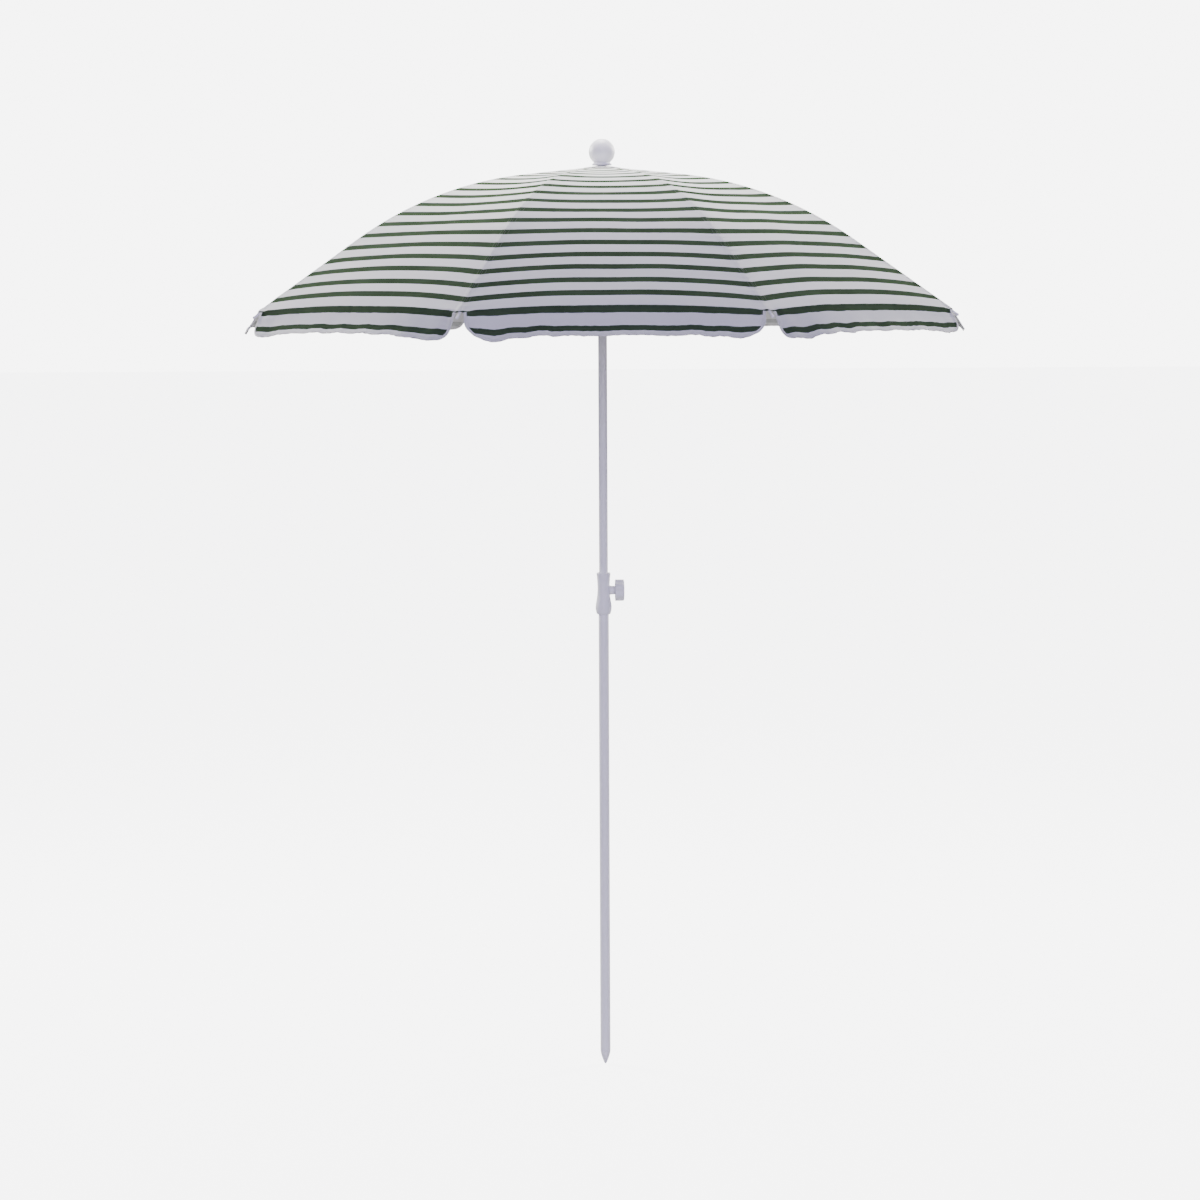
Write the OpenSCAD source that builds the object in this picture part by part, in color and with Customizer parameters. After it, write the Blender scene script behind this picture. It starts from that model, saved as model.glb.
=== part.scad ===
// Beach umbrella, open, on a two-part pole.
// Origin: tip of the ground spike, on the pole's axis. +Z is up.
// Gore 1 faces -Y. Gores and ribs are numbered towards +X. The clamp knob is on +X.

/* [Overall] */
// height from the spike's tip to the top of the finial
total_h = 2000; // [1700:10:2300]
// number of ribs, stretchers and gores
rib_count = 8; // [6:1:8]

/* [Pole] */
// outer diameter of the lower tube
lower_d = 22; // [20:0.5:32]
// outer diameter of the upper tube
upper_d = 19; // [16:0.5:28]
// running gap between the two tubes, on the radius
tube_gap = 0.3; // [0.2:0.05:1]
// wall of the upper tube
upper_wall = 1; // [0.8:0.1:2]
// height of the crimped ground spike
spike_h = 30; // [20:1:120]
// height of the centre of the stop dimples
dimple_z = 844; // [700:1:900]
// height of a stop dimple
dimple_h = 26; // [14:1:40]
// depth of a stop dimple
dimple_depth = 1.6; // [1:0.1:2.5]
// how much the lower tube is drawn in where the collar sits, on the radius
swage = 0.3; // [0.1:0.05:0.6]

/* [Height collar] */
// lower edge of the collar
collar_z0 = 992; // [900:1:1100]
// upper edge of the collar
collar_z1 = 1081; // [980:1:1200]
// greatest radius, low on the collar
collar_bulge_r = 17.3; // [15:0.1:24]
// radius of the waist
collar_waist_r = 13; // [12.5:0.1:20]
// height of the clamp screw
clamp_z = 1043; // [950:1:1150]
// diameter of the side boss
boss_d = 18.4; // [14:0.1:26]
// how far the boss reaches from the pole's axis
boss_reach = 24.4; // [20:0.1:40]
// diameter of the knob
knob_d = 46; // [30:1:60]
// thickness of the knob
knob_t = 19.5; // [12:0.5:30]
// number of finger scallops on the knob
knob_lobes = 6; // [4:1:10]

/* [Canopy] */
// height of the cloth at the pole's axis
cloth_top_z = 1943; // [1700:1:2200]
// slope of the cloth at the crown, in degrees
crown_slope = 6.5; // [2:0.5:20]
// slope of the cloth at the rim, in degrees
rim_slope = 34.5; // [25:0.5:50]
// length along a rib where the bend starts
bend_from = 180; // [100:5:300]
// length along a rib where the bend ends
bend_to = 580; // [400:5:700]
// length along a rib to the corner of the cloth
cloth_len = 819; // [700:1:900]
// thickness of the cloth
cloth_t = 1; // [0.6:0.1:2]
// how far a valance flap reaches outward
flap_out = 62; // [20:1:80]
// how far a valance flap hangs down
flap_drop = 50; // [20:1:90]
// corner radius of a valance flap
flap_corner_r = 28; // [10:1:40]
// width of the notch between two flaps
notch_w = 18; // [4:1:40]
// radius of the top patch
patch_r = 40; // [30:1:60]

/* [Ribs and stretchers] */
// diameter of a rib
rib_d = 3.5; // [3:0.1:5]
// rib's centre line below the outside of the cloth
rib_under = 4; // [3.6:0.1:6]
// length of a rib, measured along the cloth from the pole's axis
rib_len = 843; // [700:1:900]
// place of the stretcher's clip along the rib
clip_at = 385; // [300:5:450]
// stretcher pivot below the rib's centre line
clip_drop = 9; // [8:0.5:14]
// diameter of a stretcher
stretcher_d = 4; // [3:0.1:6]
// thickness of the flattened ends
tongue_t = 2.4; // [1.5:0.1:4]

/* [Crown and runner] */
// radius of the ring that the ribs and stretchers hinge on
ring_r = 20; // [18:0.5:30]
// height of the rib pivots
crown_pivot_z = 1935; // [1600:1:2200]
// height of the stretcher pivots on the open umbrella
runner_pivot_z = 1669; // [1500:1:1800]
// diameter of the ring wires
wire_d = 1.8; // [1.2:0.1:3]
// outer radius of the crown hub and the runner's flange
flange_r = 25; // [22:0.5:34]
// length of the runner's sleeve below its pivots
runner_sleeve = 55; // [30:1:120]
// how far the catch stands out of the tube
catch_out = 3; // [2:0.1:5]

/* [Finial] */
// diameter of the ball
ball_d = 55; // [30:1:80]
// radius of the neck
neck_r = 17; // [12:0.5:22]
// radius of the neck's flared foot
foot_r = 21.5; // [14:0.5:26]

/* [Hidden] */
$fn = 96;
lower_r = lower_d / 2;
upper_r = upper_d / 2;
bore_r = upper_r + tube_gap;
lower_wall = lower_r - bore_r;
half_gore = 180 / rib_count;
lower_top = collar_z1 - 15;
upper_bottom = dimple_z + dimple_h / 2;
upper_top = cloth_top_z + 20;
bend_r = (bend_to - bend_from) / (rim_slope - crown_slope) * 180 / PI;
dimple_r = (pow(dimple_h / 2, 2) + pow(dimple_depth, 2)) / (2 * dimple_depth);
boss_r = boss_d / 2;
eye_r = 3.2;
flat_l = 20;
screw_r = 3.8;
sleeve_r = upper_r + catch_out + 2.7;
lip_h = 3;
white = [0.88, 0.87, 0.9];
steel = [0.72, 0.72, 0.74];
cloth = [0.9, 0.9, 0.88];

// slope of the cloth at length s along a rib
function slope(s) =
    s <= bend_from ? crown_slope : s >= bend_to ? rim_slope : crown_slope + (s - bend_from) / bend_r * 180 / PI;
// the lengths that lie on the bend and beyond it
function on_bend(s) = max(0, min(s, bend_to) - bend_from);
function beyond(s) = max(0, s - bend_to);
// point [distance from the axis, height] on the cloth at length s along a rib
function cloth_point(s) =
    let (a = slope(s), k = min(s, bend_from))
    [
        k * cos(crown_slope) + bend_r * (sin(a) - sin(crown_slope)) + beyond(s) * cos(rim_slope),
        cloth_top_z - k * sin(crown_slope) - bend_r * (cos(crown_slope) - cos(a)) - beyond(s) * sin(rim_slope)
    ];
// the same point moved down by d, square to the cloth
function under(s, d) = cloth_point(s) - d * [sin(slope(s)), cos(slope(s))];

bend_centre = under(bend_from, bend_r);
clip_pivot = under(clip_at, rib_under + clip_drop);
stretcher_run = clip_pivot - [ring_r, runner_pivot_z];
stretcher_l = norm(stretcher_run);
stretcher_up = atan2(stretcher_run[1], stretcher_run[0]);

// lengths at which the gore's section is drawn
gore_from = 27;
gore_steps = [
    for (s = [gore_from, 60, 100, 140, bend_from])
        s,
    for (k = [1:16])
        bend_from + (bend_to - bend_from) * k / 16,
    for (s = [660, 740, cloth_len])
        s
];
squeeze = cos(half_gore);
rim = [cloth_point(cloth_len)[0] * squeeze, cloth_point(cloth_len)[1]];
gore_outer = [
    for (s = gore_steps)
        [cloth_point(s)[0] * squeeze, cloth_point(s)[1]],
    rim + [flap_out * 0.52, -flap_drop * 0.46],
    rim + [flap_out, -flap_drop]
];
gore_n = len(gore_outer);
function unit(v) = v / norm(v);
// inward normal of the section at its point i
function inward(i) =
    let (a = gore_outer[max(i - 1, 0)], b = gore_outer[min(i + 1, gore_n - 1)], d = unit(b - a))
    [d[1], -d[0]];
gore_inner = [
    for (i = [0:gore_n - 1])
        gore_outer[i] + cloth_t * inward(i)
];

// turns a flat drawing of [distance from the axis, height] into the upright plane through the axis
module upright(thick) {
    rotate([90, 0, 0])
        translate([0, 0, -thick / 2])
            linear_extrude(thick)
                children();
}

// places a piece on rib i, whose plane is half a gore past gore i
module on_rib(i) {
    rotate([0, 0, -90 + half_gore + (i - 1) * 2 * half_gore])
        children();
}

// places a piece on gore i
module on_gore(i) {
    rotate([0, 0, -90 + (i - 1) * 2 * half_gore])
        children();
}

// a round bar from point a to point b in the upright plane
module bar(a, b, r) {
    d = b - a;
    translate([a[0], 0, a[1]])
        rotate([0, 90 - atan2(d[1], d[0]), 0])
            cylinder(h = norm(d), r = r);
}

// a cross pin of radius r at a point of the upright plane
module cross_pin(p, r, l) {
    translate([p[0], 0, p[1]])
        rotate([90, 0, 0])
            cylinder(h = l, r = r, center = true);
}

// a ring of wire around the pole
module ring_wire(z, r) {
    translate([0, 0, z])
        rotate_extrude()
            translate([ring_r, 0])
                circle(r, $fn = 24);
}

// notched collar that the flattened ends hinge in
module notched_flange(z, h, slot_w) {
    difference() {
        translate([0, 0, z - h / 2])
            cylinder(h = h, r = flange_r);
        for (i = [1:rib_count])
            on_rib(i)
                translate([ring_r - 5.2, -slot_w / 2, z - h])
                    cube([20, slot_w, 2 * h]);
    }
}

// ---- pole ----

module dimple_cut(extra) {
    for (side = [0, 180])
        rotate([0, 0, side])
            translate([0, -(lower_r - dimple_depth + dimple_r), dimple_z])
                rotate([0, 90, 0])
                    cylinder(h = 3 * lower_r, r = dimple_r + extra, center = true);
}

module lower_tube() {
    color(white)
        difference() {
            union() {
                translate([0, 0, spike_h + 1])
                    cylinder(h = collar_z0 - spike_h - 1, r = lower_r);
                translate([0, 0, collar_z0])
                    cylinder(h = lower_top - collar_z0, r = lower_r - swage);
            }
            difference() {
                translate([0, 0, spike_h])
                    cylinder(h = lower_top, r = bore_r);
                dimple_cut(lower_wall);
            }
            dimple_cut(0);
            translate([0, 0, clamp_z])
                rotate([0, 90, 0])
                    cylinder(h = 2 * lower_r, r = 4.4);
        }
}

module ground_spike() {
    color(white)
        difference() {
            union() {
                cylinder(h = spike_h, r1 = 2, r2 = lower_r);
                translate([0, 0, spike_h])
                    cylinder(h = 1, r = lower_r - 0.5);
                translate([0, 0, spike_h + 1])
                    cylinder(h = 35, r = bore_r);
            }
            for (k = [0:3])
                rotate([0, 0, 45 + 90 * k])
                    translate([9.4, 0, -2])
                        rotate([0, 14, 0])
                            cylinder(h = spike_h - 1, r = 4.6);
        }
}

// ---- height collar ----

module collar_section() {
    polygon([
        [0, collar_z0],
        [14.4, collar_z0],
        [15.6, collar_z0 + 3.5],
        [16.8, collar_z0 + 9],
        [collar_bulge_r, collar_z0 + 14],
        [16.9, collar_z0 + 19],
        [15.9, collar_z0 + 26],
        [14.7, collar_z0 + 33],
        [13.7, collar_z0 + 41],
        [13.1, collar_z0 + 50],
        [collar_waist_r, collar_z0 + 57],
        [13.4, collar_z0 + 68],
        [14.2, collar_z1 - 8],
        [14.85, collar_z1 - 6.5],
        [14.85, collar_z1 - 1],
        [14.1, collar_z1],
        [0, collar_z1]
    ]);
}

module clamp_collar() {
    color(white)
        difference() {
            union() {
                rotate_extrude()
                    collar_section();
                translate([0, 0, clamp_z])
                    rotate([0, 90, 0])
                        cylinder(h = boss_reach, r = boss_r);
            }
            translate([0, 0, collar_z0 - 1])
                cylinder(h = lower_top - collar_z0 + 1, r = lower_r - swage + 0.05);
            translate([0, 0, collar_z0])
                cylinder(h = 100, r = bore_r);
            translate([0, 0, clamp_z])
                rotate([0, 90, 0])
                    cylinder(h = 60, r = 4.4);
            translate([boss_reach - 8.4, 0, clamp_z])
                rotate([0, 90, 0])
                    cylinder(h = 6.5, r = 7.5, $fn = 6);
        }
}

module clamp_nut() {
    color(steel)
        translate([boss_reach - 8.4, 0, clamp_z])
            rotate([0, 90, 0])
                difference() {
                    cylinder(h = 6.5, r = 7.5, $fn = 6);
                    translate([0, 0, -1])
                        cylinder(h = 9, r = 4.1);
                }
}

module clamp_pad() {
    color([0.75, 0.62, 0.35])
        translate([upper_r + 0.35, 0, clamp_z])
            rotate([0, 90, 0])
                cylinder(h = 2.75, r = 3.7);
}

module clamp_screw() {
    color(steel)
        translate([upper_r + 3.4, 0, clamp_z])
            rotate([0, 90, 0])
                union() {
                    cylinder(h = 0.8, r1 = 3, r2 = screw_r);
                    translate([0, 0, 0.8])
                        cylinder(h = boss_reach + 10.6 - upper_r - 3.4, r = screw_r);
                }
}

module clamp_knob() {
    start = boss_reach + 0.4;
    color(white)
        translate([start, 0, clamp_z])
            rotate([0, 90, 0])
                difference() {
                    rotate_extrude()
                        polygon([
                            [0, 0],
                            [knob_d / 2 - 0.6, 0],
                            [knob_d / 2, 0.6],
                            [knob_d / 2, knob_t - 3.6],
                            [knob_d / 2 - 1.4, knob_t - 1.4],
                            [knob_d / 2 - 4, knob_t],
                            [0, knob_t]
                        ]);
                    for (k = [1:knob_lobes])
                        rotate([0, 0, (k - 0.5) * 360 / knob_lobes])
                            translate([knob_d / 2 + 6.4, 0, -1])
                                cylinder(h = knob_t + 2, r = 9);
                    translate([0, 0, -1])
                        cylinder(h = 12.2, r = screw_r);
                    translate([0, 0, knob_t - 1.2])
                        cylinder(h = 2, r = 9);
                }
}

// ---- upper pole and crown ----

module upper_tube() {
    color(white)
        difference() {
            translate([0, 0, upper_bottom])
                cylinder(h = upper_top - upper_bottom, r = upper_r);
            translate([0, 0, upper_bottom - 1])
                cylinder(h = upper_top, r = upper_r - upper_wall);
            cross_pin([0, crown_pivot_z - 5.8], 1.3, 40);
            cross_pin([0, runner_pivot_z + 16], 1.5, 40);
            translate([-20, -2.6, runner_pivot_z - runner_sleeve - 17])
                cube([20, 5.2, 17.5]);
        }
}

module hub_rivet() {
    color(steel)
        union() {
            cross_pin([0, crown_pivot_z - 5.8], 1.3, 2 * flange_r);
            for (side = [-1, 1])
                translate([0, side * flange_r, crown_pivot_z - 5.8])
                    rotate([-90 * side, 0, 0])
                        cylinder(h = 1.2, r1 = 2.6, r2 = 1.6);
        }
}

module crown_hub() {
    color(white)
        difference() {
            union() {
                notched_flange(crown_pivot_z - 1.8, 10.4, 3.6);
                translate([0, 0, crown_pivot_z - 20])
                    cylinder(h = 14, r = 14.6);
            }
            ring_wire(crown_pivot_z, wire_d / 2);
            translate([0, 0, crown_pivot_z - 30])
                cylinder(h = 60, r = upper_r);
            cross_pin([0, crown_pivot_z - 5.8], 1.3, 80);
        }
}

module crown_ring() {
    color(steel)
        ring_wire(crown_pivot_z, wire_d / 2);
}

module runner_stop() {
    color(steel)
        union() {
            cross_pin([0, runner_pivot_z + 16], 1.5, upper_d + 0.4);
            for (side = [-1, 1])
                translate([0, side * (upper_r + 0.1), runner_pivot_z + 16])
                    rotate([-90 * side, 0, 0])
                        cylinder(h = 2.4, r1 = 3.2, r2 = 2);
        }
}

// a folded steel leaf, flat above so that the runner rests on it and sloped below
module runner_catch() {
    z = runner_pivot_z - runner_sleeve;
    color(steel)
        upright(4.4)
            polygon([
                [-upper_r - catch_out, z - 0.5],
                [-upper_r - catch_out, z - 2],
                [-upper_r + 1.6, z - 14],
                [-upper_r + 2.8, z - 14],
                [-upper_r + 4.6, z - 7],
                [-upper_r + 4.6, z - 0.5]
            ]);
}

module finial() {
    ball_r = ball_d / 2;
    ball_z = total_h - ball_r;
    base = cloth_top_z + 1.7;
    color(white)
        difference() {
            union() {
                translate([0, 0, ball_z])
                    sphere(ball_r);
                rotate_extrude()
                    polygon([
                        [0, base],
                        [foot_r, base],
                        [foot_r, base + 1.6],
                        [foot_r - 1.2, base + 3.4],
                        [neck_r + 0.4, base + 6],
                        [neck_r, base + 9],
                        [neck_r, base + 14],
                        [0, base + 14]
                    ]);
            }
            translate([0, 0, base - 1])
                cylinder(h = upper_top - base + 1, r = upper_r);
        }
}

module top_patch() {
    drop = patch_r * tan(crown_slope);
    color(cloth)
        difference() {
            translate([0, 0, cloth_top_z + 1.4 - drop])
                cylinder(h = drop, r1 = patch_r, r2 = 0.01);
            translate([0, 0, cloth_top_z + 0.4 - drop - 0.01])
                cylinder(h = drop, r1 = patch_r, r2 = 0.01);
            translate([0, 0, cloth_top_z - 30])
                cylinder(h = 60, r = upper_r);
        }
}

// ---- runner ----

// the catch bears on the lip at the sleeve's lower end, and the keyway above the lip clears it
module runner() {
    color(white)
        difference() {
            union() {
                notched_flange(runner_pivot_z, 11, 3.6);
                translate([0, 0, runner_pivot_z - runner_sleeve])
                    cylinder(h = runner_sleeve, r = sleeve_r);
                translate([0, 0, runner_pivot_z - runner_sleeve])
                    cylinder(h = 7, r = sleeve_r + 2.3);
                translate([0, 0, runner_pivot_z])
                    cylinder(h = 8.5, r = sleeve_r);
            }
            ring_wire(runner_pivot_z, wire_d / 2);
            translate([0, 0, runner_pivot_z - runner_sleeve - 1])
                cylinder(h = 120, r = bore_r);
            translate([-upper_r - catch_out - 0.6, -2.8, runner_pivot_z - runner_sleeve + lip_h])
                cube([10, 5.6, 120]);
        }
}

module runner_ring() {
    color(steel)
        ring_wire(runner_pivot_z, wire_d / 2);
}

// ---- ribs and stretchers ----

module rib_shape() {
    flat_end = [ring_r + flat_l, crown_pivot_z];
    rod_start = under(41, rib_under);
    rod_bend = under(bend_from, rib_under);
    rod_straight = under(bend_to, rib_under);
    rod_end = under(rib_len, rib_under);
    difference() {
        union() {
            cross_pin([ring_r, crown_pivot_z], eye_r, tongue_t);
            translate([ring_r, -tongue_t / 2, crown_pivot_z - 2.4])
                cube([flat_l + 2.5, tongue_t, 4.4]);
            bar(rod_start, rod_bend + 1.5 * unit(rod_bend - rod_start), rib_d / 2 - 0.05);
            translate([bend_centre[0], 0, bend_centre[1]])
                rotate([-90, 0, 0])
                    rotate([0, 0, crown_slope - 90])
                        rotate_extrude(angle = rim_slope - crown_slope)
                            translate([bend_r - rib_under, 0])
                                circle(rib_d / 2, $fn = 32);
            bar(rod_straight - 1.5 * unit(rod_end - rod_straight), rod_end, rib_d / 2 - 0.05);
        }
        cross_pin([ring_r, crown_pivot_z], wire_d / 2 + 0.3, 10);
    }
}

module clip_shape() {
    a = slope(clip_at);
    p = under(clip_at, rib_under);
    translate([p[0], 0, p[1]])
        rotate([0, a, 0])
            difference() {
                union() {
                    translate([-9, 0, 0])
                        rotate([0, 90, 0])
                            cylinder(h = 18, r = 2.5);
                    for (side = [-1, 1])
                        translate([0, side * 2.25, 0]) {
                            translate([-6, -0.5, -clip_drop])
                                cube([12, 1, clip_drop + 0.6]);
                            translate([0, 0, -clip_drop])
                                rotate([90, 0, 0])
                                    cylinder(h = 1, r = 4, center = true);
                        }
                    translate([0, 0, -clip_drop])
                        rotate([90, 0, 0])
                            cylinder(h = 7.5, r = 1.5, center = true);
                    for (side = [-1, 1])
                        translate([0, side * 3.2, -clip_drop])
                            rotate([90, 0, 0])
                                cylinder(h = 1, r = 2.6, center = true);
                }
                translate([-20, 0, 0])
                    rotate([0, 90, 0])
                        cylinder(h = 40, r = rib_d / 2 + 0.08);
            }
}

module tip_shape() {
    a = under(rib_len - 21, rib_under);
    b = under(rib_len + 3, rib_under);
    end = under(rib_len, rib_under);
    difference() {
        union() {
            bar(a, b, 2.5);
            translate([b[0], 0, b[1]])
                sphere(2.9);
        }
        bar(under(rib_len - 25, rib_under), end, rib_d / 2);
    }
}

module stretcher_shape() {
    along = unit(stretcher_run);
    low = [ring_r, runner_pivot_z];
    difference() {
        union() {
            bar(low + 11 * along, clip_pivot - 9 * along, stretcher_d / 2);
            for (p = [low, clip_pivot])
                cross_pin(p, 3.4, tongue_t);
            translate([low[0], 0, low[1]])
                rotate([0, -stretcher_up, 0])
                    translate([0, -tongue_t / 2, -2.6])
                        cube([16, tongue_t, 5.2]);
            translate([clip_pivot[0], 0, clip_pivot[1]])
                rotate([0, -stretcher_up, 0])
                    translate([-14, -tongue_t / 2, -2.6])
                        cube([14, tongue_t, 5.2]);
        }
        cross_pin(low, wire_d / 2 + 0.3, 10);
        cross_pin(clip_pivot, 1.55, 10);
    }
}

// ---- canopy ----

module gore_mask() {
    reach = 900;
    w = reach * tan(half_gore);
    edge = 0.3 / cos(half_gore);
    union() {
        translate([0, 0, rim[1]])
            linear_extrude(400)
                polygon([[edge / tan(half_gore), 0], [reach, edge - w], [reach, w - edge]]);
        half = rim[0] * tan(half_gore) - notch_w / 2;
        low = rim[1] - flap_drop - 2;
        translate([0, 0, 0])
            rotate([90, 0, 90])
                linear_extrude(reach)
                    union() {
                        translate([-half, low + flap_corner_r])
                            square([2 * half, rim[1] - low - flap_corner_r]);
                        translate([-half + flap_corner_r, low])
                            square([2 * (half - flap_corner_r), flap_corner_r]);
                        for (side = [-1, 1])
                            translate([side * (half - flap_corner_r), low + flap_corner_r])
                                circle(flap_corner_r, $fn = 64);
                    }
    }
}

module gore_shape() {
    intersection() {
        upright(900)
            polygon(concat(gore_outer, [for (i = [gore_n - 1:-1:0]) gore_inner[i]]));
        gore_mask();
    }
}

module rib(i) {
    color(steel)
        on_rib(i)
            rib_shape();
}

module clip(i) {
    color(steel)
        on_rib(i)
            clip_shape();
}

module tip(i) {
    color(white)
        on_rib(i)
            tip_shape();
}

module stretcher(i) {
    color(white)
        on_rib(i)
            stretcher_shape();
}

module gore(i) {
    color(cloth)
        on_gore(i)
            gore_shape();
}

lower_tube();
ground_spike();
clamp_collar();
clamp_nut();
clamp_pad();
clamp_screw();
clamp_knob();
upper_tube();
finial();
crown_hub();
crown_ring();
hub_rivet();
runner_stop();
runner_catch();
top_patch();
runner();
runner_ring();
for (i = [1:rib_count]) {
    rib(i);
    clip(i);
    tip(i);
    stretcher(i);
    gore(i);
}
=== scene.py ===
import math

import bpy
import numpy as np
from mathutils import Matrix, Vector

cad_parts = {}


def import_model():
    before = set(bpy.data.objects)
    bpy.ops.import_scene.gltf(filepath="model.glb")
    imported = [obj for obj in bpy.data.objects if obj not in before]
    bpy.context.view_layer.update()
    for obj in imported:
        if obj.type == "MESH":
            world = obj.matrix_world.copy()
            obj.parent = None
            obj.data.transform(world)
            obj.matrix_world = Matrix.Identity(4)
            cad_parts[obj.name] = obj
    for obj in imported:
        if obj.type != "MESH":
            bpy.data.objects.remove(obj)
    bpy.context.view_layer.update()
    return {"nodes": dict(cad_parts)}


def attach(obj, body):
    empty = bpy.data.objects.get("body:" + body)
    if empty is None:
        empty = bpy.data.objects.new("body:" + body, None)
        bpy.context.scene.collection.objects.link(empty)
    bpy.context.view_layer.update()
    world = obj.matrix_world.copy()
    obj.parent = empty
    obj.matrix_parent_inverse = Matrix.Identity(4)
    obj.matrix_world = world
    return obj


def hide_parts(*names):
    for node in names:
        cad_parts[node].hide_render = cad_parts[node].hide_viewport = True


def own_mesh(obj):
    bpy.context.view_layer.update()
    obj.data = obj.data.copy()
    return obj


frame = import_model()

MM = 0.001
RIBS = 8
HALF = math.pi / RIBS

# ---------------------------------------------------------------- camera


EYE = (-0.0078, -5.644, 1.658)
PITCH, ROLL, YAW = math.radians(6.43), math.radians(-0.25), math.radians(1.83)
LENS, SENSOR = 79.3, 36


def set_camera():
    """The viewer stands 5.6 m in front of gore 1 and a little to its left, eyes at 1.66 m."""
    across = Vector((1, 0, 0))
    up = Vector((0, math.sin(PITCH), math.cos(PITCH)))
    ahead = Vector((0, math.cos(PITCH), -math.sin(PITCH)))
    right = across * math.cos(ROLL) + up * math.sin(ROLL)
    above = up * math.cos(ROLL) - across * math.sin(ROLL)
    turn = Matrix.Rotation(-YAW, 4, "Z")
    place = Matrix((right, above, -ahead)).transposed().to_4x4()
    place.translation = Vector(EYE)
    data = bpy.data.cameras.new("viewer")
    data.lens = LENS
    data.sensor_width = SENSOR
    data.clip_end = 200
    viewer = bpy.data.objects.new("viewer", data)
    viewer.matrix_world = turn @ place
    bpy.context.scene.collection.objects.link(viewer)
    bpy.context.scene.camera = viewer


# ---------------------------------------------------------------- shader maths


class Value:
    """A number that varies over a surface; sums and products of it add Math nodes."""

    def __init__(self, finish, socket):
        self.finish, self.socket = finish, socket

    def math(self, operation, *others):
        return self.finish.math(operation, self, *others)

    def __add__(self, other):
        return self.math("ADD", other)

    def __sub__(self, other):
        return self.math("SUBTRACT", other)

    def __rsub__(self, other):
        return self.finish.math("SUBTRACT", other, self)

    def __mul__(self, other):
        return self.math("MULTIPLY", other)

    def __truediv__(self, other):
        return self.math("DIVIDE", other)

    def __abs__(self):
        return self.math("ABSOLUTE")

    __radd__ = __add__

    def sine(self):
        return self.math("SINE")

    def nearest(self):
        return self.math("ROUND")

    def least(self, other):
        return self.math("MINIMUM", other)

    def most(self, other):
        return self.math("MAXIMUM", other)

    def rise(self, low, high):
        """0 below low, 1 above high, and a smooth step between them."""
        return self.finish.value(
            "ShaderNodeMapRange",
            {"interpolation_type": "SMOOTHSTEP"},
            {"Value": self, "From Min": low, "From Max": high},
        )


class Finish:
    """A material in the making."""

    def __init__(self, name, world=False):
        self.material = (bpy.data.worlds if world else bpy.data.materials).new(name)
        self.material.use_nodes = True
        self.tree = self.material.node_tree
        self.shader = self.tree.nodes["Background" if world else "Principled BSDF"]

    def node(self, kind, settings=None, sockets=None):
        made = self.tree.nodes.new(kind)
        for key, setting in (settings or {}).items():
            setattr(made, key, setting)
        for key, given in (sockets or {}).items():
            self.feed(made.inputs[key], given)
        return made

    def feed(self, socket, given):
        if isinstance(given, Value):
            given = given.socket
        if isinstance(given, bpy.types.NodeSocket):
            self.tree.links.new(given, socket)
        else:
            socket.default_value = given

    def value(self, kind, settings=None, sockets=None, output=0):
        return Value(self, self.node(kind, settings, sockets).outputs[output])

    def math(self, operation, *terms):
        return self.value("ShaderNodeMath", {"operation": operation}, dict(enumerate(terms)))

    def mix(self, share, first, second):
        """A colour between first and second."""
        return self.value(
            "ShaderNodeMix",
            {"data_type": "RGBA"},
            {0: share, 6: colour(first), 7: colour(second)},
            output=2,
        )

    def noise(self, size, detail=2.0, rough=0.5, stretch=None):
        """A cloudy value about 0.5, with features about size metres across."""
        place = self.value("ShaderNodeTexCoord", output=3)
        if stretch:
            place = self.value(
                "ShaderNodeVectorMath",
                {"operation": "MULTIPLY"},
                {0: place, 1: stretch},
            )
        return self.value(
            "ShaderNodeTexNoise",
            {},
            {"Vector": place, "Scale": 1 / size, "Detail": detail, "Roughness": rough},
        )

    def map(self, name):
        """The two coordinates of one of the piece's own maps, in metres."""
        where = self.value("ShaderNodeUVMap", {"uv_map": name})
        parts = self.node("ShaderNodeSeparateXYZ", None, {0: where})
        return Value(self, parts.outputs[0]), Value(self, parts.outputs[1])

    def relief(self, height, depth):
        """Raises the surface by height times depth metres."""
        return self.value(
            "ShaderNodeBump", None, {"Strength": 1.0, "Distance": depth, "Height": height}
        )

    def set(self, **sockets):
        """Feeds the shader; base_color is its Base Color socket."""
        for key, given in sockets.items():
            name = key.replace("_", " ").title().replace("Ior", "IOR")
            self.feed(self.shader.inputs[name], given)
        return self.material


def colour(given):
    """Gives a plain colour its fourth number; anything else is left as it is."""
    if isinstance(given, (tuple, list)) and len(given) == 3:
        return (*given, 1.0)
    return given


# ---------------------------------------------------------------- finishes

COTTON = (0.80, 0.80, 0.78)
STRIPE = (0.048, 0.074, 0.041)
# painted shade for the canopy's underside
INSIDE_SHADE_GREY = (0.55, 0.56, 0.55)
THREAD_WHITE = (0.84, 0.84, 0.83)
# painted shade for the stitch holes, where the thread dives into the cloth
HOLE_SHADE = (0.3, 0.3, 0.3)
DULL_WHITE, BRIGHT_WHITE = (0.86, 0.845, 0.885), (0.90, 0.885, 0.92)

# lengths on the cloth, in metres
STRIPE_PITCH = 0.043
STRIPE_HALF = 0.0084
FLAP_STRIPE_LESS = 0.0011  # the flap's stripe is narrower by twice this
STRIPE_EDGE = 0.00025
FIRST_STRIPE = 0.735
STITCH = 0.0036
THREAD_EDGE = (0.0003, 0.0007)
SEAM_ROWS = (0.0018, 0.0082)
HEM_ROW = 0.0072
PATCH_ROWS = (0.0035, 0.0058)
ZIGZAG = 0.0032
CLOTH_RELIEF = 0.0007


def shade(tone, share):
    """A colour made darker or lighter by a share."""
    return tuple(c * share for c in tone)


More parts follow.
